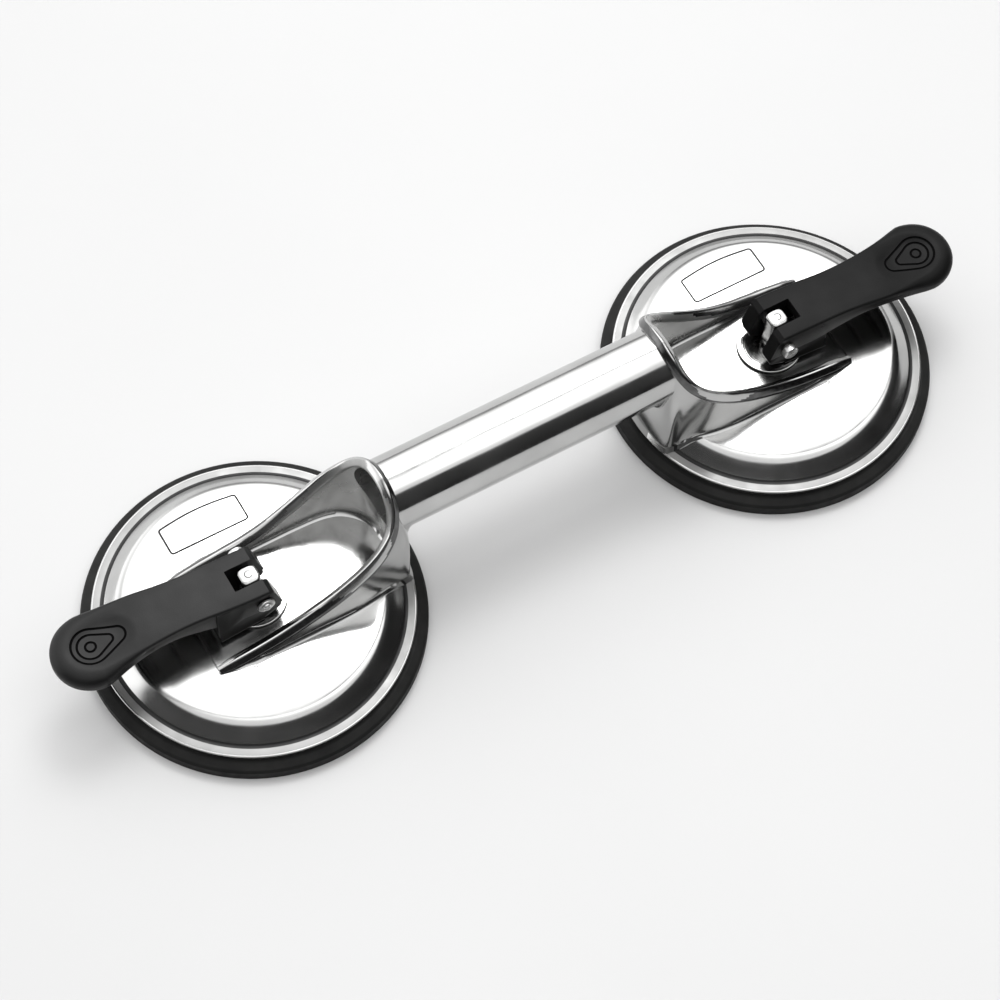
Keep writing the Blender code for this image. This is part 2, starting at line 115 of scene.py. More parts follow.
# Stations of the horseshoe wall, from its outboard corner to the middle of the collar:
# rim line x, y, z, foot of the outer face x, y, foot of the inner face x, y,
# and how far the outer face has moved in from its foot at a third of its height
WALL_STATIONS = (
    (0.0222, 0.0182, 0.0152, 0.0224, 0.0202, 0.0222, 0.0172, 0.10),
    (0.0120, 0.0184, 0.0170, 0.0120, 0.0208, 0.0120, 0.0172, 0.12),
    (0.0020, 0.0184, 0.0188, 0.0020, 0.0210, 0.0020, 0.0172, 0.20),
    (-0.0060, 0.0182, 0.0206, -0.0060, 0.0210, -0.0060, 0.0172, 0.35),
    (-0.0140, 0.0182, 0.0234, -0.0140, 0.0210, -0.0140, 0.0172, 0.55),
    (-0.0220, 0.0184, 0.0275, -0.0220, 0.0208, -0.0220, 0.0172, 0.70),
    (-0.0300, 0.0184, 0.0327, -0.0300, 0.0203, -0.0300, 0.0170, 0.65),
    (-0.0360, 0.0180, 0.0374, -0.0370, 0.0193, -0.0360, 0.0163, 0.55),
    (-0.0410, 0.0168, 0.0421, -0.0430, 0.0176, -0.0410, 0.0146, 0.40),
    (-0.0448, 0.0146, 0.0467, -0.0480, 0.0162, -0.0450, 0.0114, 0.20),
    (-0.0472, 0.0110, 0.0513, -0.0516, 0.0152, -0.0476, 0.0076, 0.05),
    (-0.0483, 0.0058, 0.0555, -0.0532, 0.0095, -0.0489, 0.0038, 0.02),
    (COLLAR_X, 0.0, 0.0570, -0.0536, 0.0, -0.0493, 0.0, 0.02),
)
WALL_SAMPLES = 84
WALL_HALF_THICKNESS = 0.0015
MIN_WALL_HEIGHT = 0.002
FLARE_HEIGHT = 0.35
INNER_BELLY = (0.45, 0.55)
FOOT_FILLET = 0.0014
INNER_FILLET = 0.0016
HORSESHOE_MIDDLE = Vector((-0.006, 0.0, 0.0))

# Bead on the wall's rim: a rounded square, with how far its corners reach and how it leans
BEAD_RADIUS = 0.00180
BEAD_SQUARE = 4.0
BEAD_CORNER = 1.20
BEAD_LEAN = math.radians(-4)
BEAD_TOP = 0.05904
BEAD_STEPS = 32

# Insides of the horseshoes: the axis they face, their outboard end, and how far out they reach
INSIDE_AXIS = -0.016
INSIDE_END = -0.004
INSIDE_REACH = 0.053

# Platform inside the horseshoe: corners of its outboard edge, where its far side meets the wall,
# and its levels, each with how far it is set in
PLATFORM_NEAR = (0.0226, -0.0196)
PLATFORM_MIDDLE = (0.0226, 0.0)
PLATFORM_FAR = (0.0226, 0.0212)
PLATFORM_SIDE = (0.010, 0.0206)
PLATFORM_LEVELS = ((BURIED_FOOT, 0.0), (PLATFORM_TOP - 0.0005, 0.0),
                   (PLATFORM_TOP - 0.00018, 0.0001), (PLATFORM_TOP, 0.0006))

# Blank nameplate on the disc's far side
LABEL_LOW = (-0.0128, 0.0280)
LABEL_HIGH = (0.0163, 0.0384)
LABEL_BULGE = 0.0013
LABEL_CORNER = 0.0012
LABEL_LINE = 0.00037

# Lever: distance from the cup's centre, sideways shift of the middle line, half width, underside
ARM_STATIONS = (
    (-0.0031, 0.0002, 0.0098, 0.0240),
    (0.0050, 0.0000, 0.0097, 0.0240),
    (0.0130, -0.0004, 0.0095, 0.0242),
    (0.0220, -0.0010, 0.0092, 0.0263),
    (0.0300, -0.0015, 0.0094, 0.0286),
    (0.0380, -0.0019, 0.0101, 0.0298),
    (0.0440, -0.0019, 0.0107, 0.0297),
    (0.0500, -0.0017, 0.0117, 0.0290),
    (0.0555, -0.0014, 0.0129, 0.0282),
    (0.0585, -0.0012, 0.0134, 0.0279),
)
LEVER_TOP = LEVER_HIGH.z
TIP_CENTRE, TIP_SHIFT, TIP_RADIUS, TIP_UNDERSIDE = ARM_STATIONS[-1]
TIP_MARGIN = 0.00002
TOP_COLUMNS = (1.0, 0.9, 0.8, 0.7, 0.62, 0.54, 0.47)
UNDERSIDE_COLUMNS = (0.55, 0.8, 1.0)
PLATE_THICKNESS = 0.0021
DIMPLE_CENTRE = (0.0545, -0.0013)
DIMPLE_SIZE = (0.0125, 0.0092)
DIMPLE_DEPTH = 0.0010
GROOVE_RADIUS = 0.00042
SLOT_HALF_WIDTH = 0.0042
SLOT_END = 0.0080
CHEEK_HALF_WIDTH = 0.0092
HEEL_OUTLINE = (
    (-0.0029, 0.0346), (-0.0063, 0.0226), (-0.0058, 0.0208), (-0.0003, 0.0179), (0.0168, 0.0179),
    (0.0175, 0.0190), (0.0175, 0.0346))
HEEL_SLOPE = 0.30
HEEL_CHAMFER = 0.0021
FOOT_INSIDE = 0.0085
FOOT_BOTTOM = 0.01795
CROSS_HOLE_RADIUS = 0.0020
RIB_PITCH = 0.0094
POCKET_MARGIN = 0.0026

# Small steel parts
STUD_HALF = 0.0035
STUD_SHIFT = 0.0011
STUD_CROWN = 0.0010
STUD_BORE_RADIUS = 0.0019
THREAD_PITCH = 0.0008
PIN_RADIUS = 0.0017
PIN_HEAD_RADIUS = 0.0027
PIN_HEAD_END = -0.0098
PIN_GROOVE_RADIUS = 0.0014
CLIP_RADII = (0.0016, 0.0031)
WASHER_BORE = 0.0059

LATHE_STEPS = 192
SHARP_ANGLE = math.radians(28)
WELD = 0.000002
REACH = 0.02


# ---------------- mesh tools

def new_object(name, data):
    item = bpy.data.objects.new(name, data)
    bpy.context.scene.collection.objects.link(item)
    return item


def mesh_object(name, points, faces, material):
    mesh = bpy.data.meshes.new(name)
    mesh.from_pydata([tuple(point) for point in points], [], faces)
    mesh.materials.append(material)
    return weld(new_object(name, mesh))


def weld(item):
    """Join doubled points, drop collapsed faces and turn every face outward."""
    shape = bmesh.new()
    shape.from_mesh(item.data)
    bmesh.ops.remove_doubles(shape, verts=shape.verts, dist=WELD)
    bmesh.ops.dissolve_degenerate(shape, edges=shape.edges, dist=WELD)
    bmesh.ops.recalc_face_normals(shape, faces=shape.faces)
    shape.to_mesh(item.data)
    shape.free()
    return item


def grid_faces(rows, columns, closed_rows=False, closed_columns=False):
    """Faces of a grid of points that are listed row by row."""
    faces = []
    for row in range(rows if closed_rows else rows - 1):
        following = (row + 1) % rows
        for column in range(columns if closed_columns else columns - 1):
            beside = (column + 1) % columns
            faces.append((row * columns + column, row * columns + beside,
                          following * columns + beside, following * columns + column))
    return faces


def loft(name, sections, material):
    """Skin a row of closed sections that have the same number of points, and cap both ends."""
    count = len(sections[0])
    points = [point for section in sections for point in section]
    faces = grid_faces(len(sections), count, closed_columns=True)
    faces.append(tuple(range(count)))
    faces.append(tuple(range((len(sections) - 1) * count, len(sections) * count)))
    return mesh_object(name, points, faces, material)


def lathe(name, profile, material, steps=LATHE_STEPS, closed=False, axis="Z"):
    """Turn a profile of (radius, height) points about an axis. Open profiles start and end on it."""
    points = []
    for step in range(steps):
        angle = 2 * math.pi * step / steps
        for radius, height in profile:
            points.append((radius * math.cos(angle), radius * math.sin(angle), height))
    faces = grid_faces(steps, len(profile), closed_rows=True, closed_columns=closed)
    item = mesh_object(name, points, faces, material)
    if axis == "Y":
        item.data.transform(Matrix.Rotation(-math.pi / 2, 4, "X"))
    return item


def rounded(points, radii, steps=5, closed=True):
    """Round the corners of a flat outline; radii is one radius, or one for each corner."""
    count = len(points)
    outline = []
    for i, point in enumerate(points):
        radius = radii[i] if isinstance(radii, (list, tuple)) else radii
        corner = Vector(point)
        if radius == 0 or (not closed and i in (0, count - 1)):
            outline.append(corner)
            continue
        back = Vector(points[i - 1]) - corner
        ahead = Vector(points[(i + 1) % count]) - corner
        half = back.angle(ahead) / 2
        length = min(radius / math.tan(half), back.length * 0.48, ahead.length * 0.48)
        start = corner + back.normalized() * length
        end = corner + ahead.normalized() * length
        for step in range(steps + 1):
            t = step / steps
            outline.append(start * (1 - t) ** 2 + corner * 2 * t * (1 - t) + end * t ** 2)
    return outline


def spline(values, position):
    """Catmull-Rom curve through rows of numbers; position runs from 0 to the last row's index."""
    values = np.asarray(values, float)
    index = min(int(position), len(values) - 2)
    t = position - index
    before = values[max(index - 1, 0)]
    start = values[index]
    end = values[index + 1]
    after = values[min(index + 2, len(values) - 1)]
    linear = (end - before) * t
    square = (before * 2 - start * 5 + end * 4 - after) * t ** 2
    cube = (start * 3 - before - end * 3 + after) * t ** 3
    return (start * 2 + linear + square + cube) / 2


def spline_row(values, samples):
    last = len(values) - 1
    return [spline(values, last * i / samples) for i in range(samples + 1)]


def smooth_step(value):
    value = min(max(value, 0.0), 1.0)
    return value * value * (3.0 - 2.0 * value)


def rise_through(value, knee, level):
    """Smooth rise from 0 to 1 that passes through level at knee and never turns back."""
    first = level / knee
    second = (1 - level) / (1 - knee)
    middle = 2 * first * second / (first + second)
    if value < knee:
        width, low, high = knee, 0.0, level
        start, end = max(first * 1.5 - middle * 0.5, 0.0), middle
        t = value / knee
    else:
        width, low, high = 1 - knee, level, 1.0
        start, end = middle, max(second * 1.5 - middle * 0.5, 0.0)
        t = (value - knee) / width
    return (low * (2 * t ** 3 - 3 * t ** 2 + 1) + start * width * (t ** 3 - 2 * t ** 2 + t)
            + high * (3 * t ** 2 - 2 * t ** 3) + end * width * (t ** 3 - t ** 2))


def closed_tube(name, path, radius, material, sides):
    """A round tube along a closed path, carrying its frame from point to point."""
    path = [Vector(point) for point in path]
    count = len(path)
    points = []
    across = None
    for i, point in enumerate(path):
        along = (path[(i + 1) % count] - path[i - 1]).normalized()
        if across is None:
            across = along.orthogonal().normalized()
        across = (across - along * across.dot(along)).normalized()
        other = along.cross(across)
        for side in range(sides):
            angle = 2 * math.pi * side / sides
            points.append(point + (across * math.cos(angle) + other * math.sin(angle)) * radius)
    return mesh_object(name, points, grid_faces(count, sides, True, True), material)


def dense(outline, step):
    """Points along a closed flat outline, at most about two steps apart."""
    spots = []
    for i, point in enumerate(outline):
        start = Vector(point)
        ahead = Vector(outline[(i + 1) % len(outline)])
        pieces = max(int((ahead - start).length / step), 1)
        spots += [start.lerp(ahead, piece / pieces) for piece in range(pieces)]
    return spots


def applied(item):
    """Put the item's modifiers into its mesh."""
    depsgraph = bpy.context.evaluated_depsgraph_get()
    mesh = bpy.data.meshes.new_from_object(item.evaluated_get(depsgraph))
    item.modifiers.clear()
    item.data = mesh
    return item


def combine(item, other, operation):
    """Join the other closed solid to the item, or cut it away, and remove it."""
    modifier = item.modifiers.new("combine", "BOOLEAN")
    modifier.operation = operation
    modifier.solver = "EXACT"
    modifier.material_mode = "TRANSFER"
    modifier.object = other
    bpy.context.view_layer.update()
    applied(item)
    bpy.data.objects.remove(other, do_unlink=True)
    if not item.data.polygons:
        raise RuntimeError(f"{item.name} vanished in a {operation.lower()}")
    return item


def material_slot(item, material):
    """Index of the material on the item, added if it isn't there yet."""
    if material.name not in item.data.materials:
        item.data.materials.append(material)
    return item.data.materials.find(material.name)


def join(item, other):
    return combine(item, other, "UNION")


def cut(item, other):
    return combine(item, other, "DIFFERENCE")


def box(name, low, high, material, radius=0.0):
    """An upright block with rounded upright edges."""
    corners = [(low[0], low[1]), (high[0], low[1]), (high[0], high[1]), (low[0], high[1])]
    outline = rounded(corners, radius)
    return loft(name, [[(x, y, z) for x, y in outline] for z in (low[2], high[2])], material)


def slab(name, outline, half_width, material):
    """A slab whose outline is given in X and Z."""
    return loft(name, [[(x, y, z) for x, z in outline] for y in (-half_width, half_width)], material)


def soften(item, width, segments, angle):
    """Round the item's edges that are sharper than an angle."""
    bevel = item.modifiers.new("edges", "BEVEL")
    bevel.width = width
    bevel.segments = segments
    bevel.limit_method = "ANGLE"
    bevel.angle_limit = math.radians(angle)
    return applied(item)


def hand_over(item, side, body, node):
    """Shade a finished piece smooth, put it in place, hang it on its body and hide the CAD node it stands
    for.

    Side is 1 or -1 for a piece drawn in a cup's own frame, and 0 for one that spans both cups."""
    item.data.shade_smooth()
    item.data.set_sharp_from_angle(angle=SHARP_ANGLE)
    item.location = (side * HALF_SPACING, 0.0, 0.0)
    item.rotation_euler = (0.0, 0.0, math.pi if side < 0 else 0.0)
    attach(item, body)
    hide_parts(node)
    return item


# ---------------- materials

def set_inputs(node, settings):
    """Give a shader node's inputs their values, or link other nodes' outputs to them."""
    for key, value in settings.items():
        if isinstance(value, bpy.types.NodeSocket):
            node.id_data.links.new(value, node.inputs[key])
        else:
            node.inputs[key].default_value = value
    return node


def add_node(tree, kind, settings):
    return set_inputs(tree.nodes.new(kind), settings)


def map_range(tree, value, low, high, start, end):
    """Add a node that maps the range from low to high onto the one from start to end."""
    return add_node(tree, "ShaderNodeMapRange", {"Value": value, "From Min": low, "From Max": high,
                                                 "To Min": start, "To Max": end})


class Finish:
    """A Principled material whose detail comes from noise in the piece's own space.

    A color is a level of grey, with this much less blue, or three numbers. A noise is (scale,
    detail, distortion, stretch), the last two if it has them. The tone is a noise and two stops of
    place and color, the wear is a noise with the roughness at its low and high end, and each bump
    is a noise with a strength and a distance."""

    def __init__(self, name, color, roughness, metallic=1.0, specular=0.5, less_blue=0.0,
                 tone=(), wear=(), bumps=()):
        self.material = bpy.data.materials.new(name)
        self.material.use_nodes = True
        self.tree = self.material.node_tree
        self.less_blue = less_blue
        self.shader = self.tree.nodes["Principled BSDF"]
        self.set({"Base Color": self.color(color), "Roughness": roughness, "Metallic": metallic,
                  "Specular IOR Level": specular})
        self.coordinates = self.tree.nodes.new("ShaderNodeTexCoord").outputs["Object"]
        self.normal = None
        if tone:
            self.tone(self.noise(*tone[0]), tone[1:])
        if wear:
            self.wear(self.noise(*wear[0]), *wear[1:])
        for texture, strength, distance in bumps:
            self.bump(self.noise(*texture), strength, distance)

    def texture(self, kind, settings):
        return add_node(self.tree, kind, {"Vector": self.coordinates, **settings})

    def noise(self, scale, detail, distortion=0.0, stretch=None):
        settings = {"Scale": scale, "Detail": detail, "Distortion": distortion}
        if stretch:
            settings["Vector"] = self.texture("ShaderNodeMapping", {"Scale": stretch}).outputs["Vector"]
        return self.texture("ShaderNodeTexNoise", settings).outputs["Fac"]

    def set(self, settings):
        set_inputs(self.shader, settings)

    def color(self, color):
        return (*color, 1.0) if isinstance(color, tuple) else (color, color, color - self.less_blue, 1.0)

    def tone(self, texture, stops):
        ramp = add_node(self.tree, "ShaderNodeValToRGB", {"Fac": texture})
        for element, (position, color) in zip(ramp.color_ramp.elements, stops):
            element.position = position
            element.color = self.color(color)
        self.set({"Base Color": ramp.outputs["Color"]})

    def wear(self, texture, low, high, start=0.3, end=0.7):
        self.set({"Roughness": map_range(self.tree, texture, start, end, low, high).outputs["Result"]})

    def bump(self, height, strength, distance):
        """Add a layer of bump over those already there."""
        settings = {"Height": height, "Strength": strength, "Distance": distance}
        if self.normal:
            settings["Normal"] = self.normal
        self.normal = add_node(self.tree, "ShaderNodeBump", settings).outputs["Normal"]
        self.set({"Normal": self.normal})


def polished_aluminium():
    """Hand-polished die casting: soft waves, cloudy patches, fine marks and a few pits."""
    finish = Finish(
        "polished_aluminium", 0.58, 0.13, less_blue=0.005,
        tone=((55, 5), (0.25, 0.50), (0.75, 0.62)), wear=((38, 6, 0.6), 0.10, 0.24, 0.3, 0.75),
        bumps=(((42, 2), 0.22, 0.0011), ((300, 3, 0.0, (0.25, 1.0, 1.0)), 0.05, 0.0002)))
    cells = finish.texture("ShaderNodeTexVoronoi", {"Scale": 420})
    pits = map_range(finish.tree, cells.outputs["Distance"], 0.0, 0.10, 0.0, 1.0)
    finish.bump(pits.outputs["Result"], 0.10, 0.00012)
    return finish.material


def black_plastic(name, specular, smoothness):
    """Glass-filled nylon with a fine spark-eroded grain, rubbed smoother in places."""
    return Finish(
        name, 0.012, 0.42, 0.0, specular, tone=((60, 5), (0.3, 0.006), (0.75, 0.012)),
        wear=((90, 5), smoothness, smoothness + 0.14), bumps=(((2200, 4), 0.22, 0.00012),)).material


def turned_steel():
    """Washer and plate steel, faced on a lathe."""
    finish = Finish("turned_steel", 0.50, 0.2, less_blue=0.005, wear=((300, 4), 0.12, 0.24))
    rings = finish.texture("ShaderNodeTexWave", {"Scale": 420, "Distortion": 0.4, "Detail": 3})
    rings.wave_type = "RINGS"
    rings.rings_direction = "Z"
    finish.bump(rings.outputs["Fac"], 0.10, 0.0001)
    return finish.material


def pale_floor():
    """Pale paper under the object, with a little light of its own."""
    finish = Finish("pale_floor", 0.58, 0.5, 0.0, tone=((3, 4), (0.2, 0.56), (0.8, 0.60)))
    finish.set({"Emission Color": (1.0, 1.0, 1.0, 1.0), "Emission Strength": 0.06})
    return finish.material


ALUMINIUM = polished_aluminium()

# Satin field of the blank nameplate
LABEL = Finish(
    "label_aluminium", 0.50, 0.3, wear=((240, 5), 0.20, 0.27), bumps=(((900, 3), 0.02, 0.0001),)).material

# Rim of the disc, left as it came from the turning tool and the blasting cabinet
RIM_METAL = Finish(
    "rim_aluminium", 0.27, 0.42, less_blue=0.003, wear=((160, 5), 0.36, 0.50),
    bumps=(((1500, 3), 0.15, 0.0001),)).material

# Painted shade: near-black aluminium for the rim's inner corner, the nameplate's outline, the stud's centre
# mark and the washers' edges
PAINTED_SHADE_METAL = Finish(
    "painted_shade_aluminium", 0.045, 0.5, wear=((200, 5), 0.42, 0.60),
    bumps=(((1500, 3), 0.15, 0.0001),)).material

# Insides that were only blasted: duller and cloudier than the polished outside
CAST_METAL = Finish(
    "cast_aluminium", 0.42, 0.3, 0.85, less_blue=0.005, tone=((75, 6, 0.5), (0.3, 0.30), (0.7, 0.50)),
    wear=((60, 5), 0.20, 0.36), bumps=(((48, 2), 0.30, 0.0012), ((1100, 4), 0.15, 0.00012))).material

# Floor of the horseshoes: brushed over once, with cloudy blasted patches
SATIN_METAL = Finish(
    "platform_aluminium", 0.50, 0.3, less_blue=0.005, tone=((62, 7, 0.8), (0.34, 0.40), (0.5, 0.52)),
    wear=((70, 5), 0.11, 0.24), bumps=(((45, 2), 0.2, 0.0010), ((1300, 4), 0.12, 0.0001))).material

# Burnished outer flat of the horseshoes' lips, with a painted dark reflection in its colour
LIP_PAINTED_REFLECTION_METAL = Finish(
    "lip_painted_reflection_aluminium", 0.14, 0.18, tone=((240, 5, 0.5), (0.3, 0.10), (0.75, 0.18)),
    wear=((300, 4), 0.12, 0.26), bumps=(((700, 3), 0.10, 0.0001),)).material

# Bottom of the moulded grip lines, too narrow for light to reach
GROOVE_BLACK = Finish("groove_black", 0.002, 0.8, 0.0, 0.05, wear=((600, 3), 0.7, 0.9)).material

# Matt moulded rubber with a dusty bloom
RUBBER = Finish(
    "black_rubber", (0.016, 0.016, 0.015), 0.6, 0.0, 0.18,
    tone=((70, 6), (0.35, 0.008), (0.8, (0.017, 0.017, 0.016))),
    wear=((240, 5), 0.50, 0.68), bumps=(((2600, 3), 0.25, 0.00012),)).material

PLASTIC = black_plastic("black_plastic", 0.23, 0.34)
# The right lever's plastic: glossier, and with its specular lowered so it reads darker, which is painted
# shade
GLOSSY_SHADED_PLASTIC = black_plastic("black_plastic_glossy_painted_shade", 0.07, 0.26)

# Turned and plated steel
STEEL = Finish(
    "bright_steel", 0.46, 0.2, less_blue=0.005, tone=((260, 4), (0.3, 0.38), (0.7, 0.52)),
    wear=((500, 4), 0.12, 0.26), bumps=(((900, 3), 0.08, 0.0001),)).material

# Bright zinc on the pins and clips, with a soft sheen
ZINC = Finish(
    "zinc_plate", (0.80, 0.80, 0.79), 0.34, less_blue=0.005, tone=((420, 4), (0.3, 0.66), (0.7, 0.84)),
    wear=((500, 4), 0.26, 0.40), bumps=(((900, 3), 0.08, 0.0001),)).material

TURNED = turned_steel()
FLOOR = pale_floor()


# ---------------- casting

def crown_height(radius):
    radii, heights = zip(*DISC_CROWN)
    return float(np.interp(radius, radii, heights))


def make_disc():
    """Hollow disc: crowned top, shoulder, flat rim and the hollow for the pad."""
    crown = spline_row(DISC_CROWN, 60)
    edge = [crown[-1], (DISC_RADIUS, RIM_TOP - 0.0003), (DISC_RADIUS, RIM_BOTTOM), DISC_HOLLOW[0]]
    edge = rounded(edge, [0, 0.0005, 0.0003, 0], closed=False)
    profile = [*crown, *edge[1:-1], *spline_row(DISC_HOLLOW, 24)]
    profile[0] = (0.0, profile[0][1])
    profile[-1] = (0.0, profile[-1][1])
    return lathe("disc", profile, ALUMINIUM)


def wall_place(position):
    """Rim point, outer foot, inner foot, flare and outward direction at a place along the wall."""
    numbers = spline(WALL_STATIONS, position)
    rim = numbers[:3]
    outer = numbers[3:5]
    inner = numbers[5:7]
    flare = min(max(numbers[7], 0.02), 0.9)
    outward = (outer - inner) / np.linalg.norm(outer - inner)
    return rim, outer, inner, flare, outward


def fillet(size, height):
    """How far a fillet still stands out at a height above its root."""
    return size * max(1 - max(height, 0) / size, 0) ** 2


def wall_section(position):
    """Section of the wall: up its flared outer face, and down its inner face."""
    rim, outer, inner, flare, outward = wall_place(position)
    outer_crest = rim[:2] + outward * WALL_HALF_THICKNESS
    inner_crest = rim[:2] - outward * WALL_HALF_THICKNESS
    floor = min(PLATFORM_TOP, rim[2] - MIN_WALL_HEIGHT)
    rise = rim[2] - floor
    ground = crown_height(float(np.hypot(*outer)))
    section = [(*(outer + outward * FOOT_FILLET), BURIED_FOOT)]
    for step in range(5):
        height = ground - 0.0002 + (floor - ground + 0.0002) * step / 5
        section.append((*(outer + outward * fillet(FOOT_FILLET, height - ground)), min(height, floor)))
    for step in range(13):
        share = step / 12
        height = floor + rise * share
        shift = rise_through(share, FLARE_HEIGHT, flare)
        root = outward * fillet(FOOT_FILLET, height - ground) * (1 - share)
        section.append((*(outer + (outer_crest - outer) * shift + root), height))
    for step in range(19):
        share = (1 - step / 18) ** 1.5
        shift = rise_through(share, *INNER_BELLY)
        root = outward * fillet(INNER_FILLET, rise * share)
        section.append((*(inner + (inner_crest - inner) * shift - root), floor + rise * share))
    section.append((*(inner - outward * INNER_FILLET), BURIED_FOOT))
    return section


def whole(half):
    """Complete a row of sections that starts at the +Y corner and ends on Y = 0."""
    return half + [[(x, -y, z) for x, y, z in section] for section in reversed(half[:-1])]


def wall_positions():
    last = len(WALL_STATIONS) - 1
    return [last * i / WALL_SAMPLES for i in range(WALL_SAMPLES + 1)]


def make_wall():
    return loft("wall", whole([wall_section(position) for position in wall_positions()]), ALUMINIUM)


def bead_size(point, share):
    """Half width of the bead: thin at its ends, full low down, a little uneven from handwork."""
    ends = 0.72 + 0.28 * smooth_step(share / 0.06)
    fullness = 1 + 0.16 * smooth_step((0.050 - point.z) / 0.015)
    return BEAD_RADIUS * ends * fullness * (1 + 0.04 * noise.noise(point * 160))


def make_bead():
    """Rim of the horseshoe wall: a squarish bead standing on edge, with well rounded corners."""
    path = whole([[spline(WALL_STATIONS, position)[:3]] for position in wall_positions()])
    path = [Vector(point) for (point,) in path]
    sections = []
    for i, point in enumerate(path):
        along = (path[min(i + 1, len(path) - 1)] - path[max(i - 1, 0)]).normalized()
        across = along.cross(Vector((0, 0, 1))).normalized()
        up = across.cross(along)
        size = bead_size(point, min(i, len(path) - 1 - i) / WALL_SAMPLES)
        point.z = min(point.z, BEAD_TOP - size * BEAD_CORNER)
        lean = math.copysign(BEAD_LEAN, across.dot(point - HORSESHOE_MIDDLE))
        section = []
        for step in range(BEAD_STEPS):
            angle = 2 * math.pi * step / BEAD_STEPS
            turned = angle - math.pi / 4 + lean
            spread = abs(math.cos(turned)) ** BEAD_SQUARE + abs(math.sin(turned)) ** BEAD_SQUARE
            radius = size * spread ** (-1 / BEAD_SQUARE)
            section.append(point + (across * math.cos(angle) + up * math.sin(angle)) * radius)
        sections.append(section)
    bead = loft("bead", sections, ALUMINIUM)
    # Faces of the bead that look outward from the horseshoe get the painted dark reflection
    lip = material_slot(bead, LIP_PAINTED_REFLECTION_METAL)
    for face in bead.data.polygons:
        outward = face.center - HORSESHOE_MIDDLE
        outward.z = 0.0
        if face.normal.dot(outward.normalized()) > 0.35 and -0.45 < face.normal.z < 0.84:
            face.material_index = lip
    return bead


def make_platform():
    """Flat floor inside the horseshoe, with a crisp outboard edge and one rounded corner."""
    far = []
    for position in wall_positions():
        _, outer, inner, _, _ = wall_place(position)
        far.append(tuple(float(number) for number in (outer + inner) / 2))
    near = [(x, -y) for x, y in reversed(far[:-1])]
    near_corner = rounded([near[-2], PLATFORM_NEAR, PLATFORM_MIDDLE], 0.0012, closed=False)
    far_corner = rounded([PLATFORM_MIDDLE, PLATFORM_FAR, PLATFORM_SIDE], 0.0050, 8, False)
    # The walls' last samples give way to the platform's own corners
    outline = far[10:] + near[:-6] + near_corner[1:-1] + far_corner[1:-1]
    middle = -0.014
    sections = []
    for height, inset in PLATFORM_LEVELS:
        section = []
        for x, y in outline:
            away = Vector((x - middle, y))
            point = away - away.normalized() * inset
            section.append((point.x + middle, point.y, height))
        sections.append(section)
    return loft("platform", sections, ALUMINIUM)


def make_gusset():
    """Fillet between the neck's inboard face and the underside of the handle."""
    sections = []
    neck = -0.0530
    reach = 0.0124
    for step in range(25):
        y = reach * (step / 12 - 1)
        size = math.sqrt(max(1 - (y / (reach * 1.02)) ** 2, 0.0))
        under = HANDLE_HEIGHT - math.sqrt((HANDLE_RADIUS - 0.0004) ** 2 - y * y)
        width = 0.0005 + 0.0062 * size
        drop = 0.0005 + 0.0075 * size
        section = [(-0.0500, y, under + 0.002), (-0.0500, y, under - drop), (neck, y, under - drop)]
        for turn in range(1, 9):
            angle = math.pi / 2 * turn / 8
            section.append((neck - width * (1 - math.cos(angle)), y, under - drop * (1 - math.sin(angle))))
        section.append((neck - width, y, under + 0.002))
        sections.append(section)
    return loft("gusset", sections, ALUMINIUM)


def make_label_groove():
    """Outline of the blank nameplate on the disc's far side, whose far edge is curved."""
    corners = [LABEL_LOW, (LABEL_HIGH[0], LABEL_LOW[1])]
    for step in range(15):
        share = step / 14
        x = LABEL_HIGH[0] + (LABEL_LOW[0] - LABEL_HIGH[0]) * share
        corners.append((x, LABEL_HIGH[1] + LABEL_BULGE * math.sin(math.pi * share)))
    outline = rounded(corners, [LABEL_CORNER] * 3 + [0] * 13 + [LABEL_CORNER])
    path = [(*spot, crown_height(spot.length) + 0.00004) for spot in dense(outline, 0.0012)]
    # The groove is cut with the painted shade material, so its faces are painted dark as shade
    return closed_tube("label_groove", path, LABEL_LINE, PAINTED_SHADE_METAL, 8)


def handle_radius(angle, x):
    """Radius of the softly faceted, hand-polished handle at an angle from its top."""
    weight = 0.0
    apothem = HANDLE_RADIUS * HANDLE_FLATS
    for side in range(HANDLE_SIDES):
        drift = 0.045 * noise.noise(Vector((x * 28, side * 7.3, 1.7)))
        facing = math.cos(angle - 2 * math.pi * (side + 0.5) / HANDLE_SIDES - drift)
        if facing > 0:
            weight += (facing / apothem) ** HANDLE_CREASE
    return min(weight ** (-1 / HANDLE_CREASE), HANDLE_RADIUS)


def make_handle():
    half_length = HALF_SPACING + COLLAR_X - 0.0003
    rows = 72
    sides = 144
    sections = []
    for row in range(rows + 1):
        x = half_length * (2 * row / rows - 1)
        section = []
        for side in range(sides):
            angle = 2 * math.pi * side / sides
            radius = handle_radius(angle, x)
            section.append((x, radius * math.sin(angle), HANDLE_HEIGHT + radius * math.cos(angle)))
        sections.append(section)
    return loft("casting_finish", sections, ALUMINIUM)


def mirrored(item, name):
    """A copy of the item mirrored in X, still facing outward."""
    copy = new_object(name, item.data.copy())
    copy.data.transform(Matrix.Diagonal((-1, 1, 1, 1)))
    copy.data.flip_normals()
    return copy


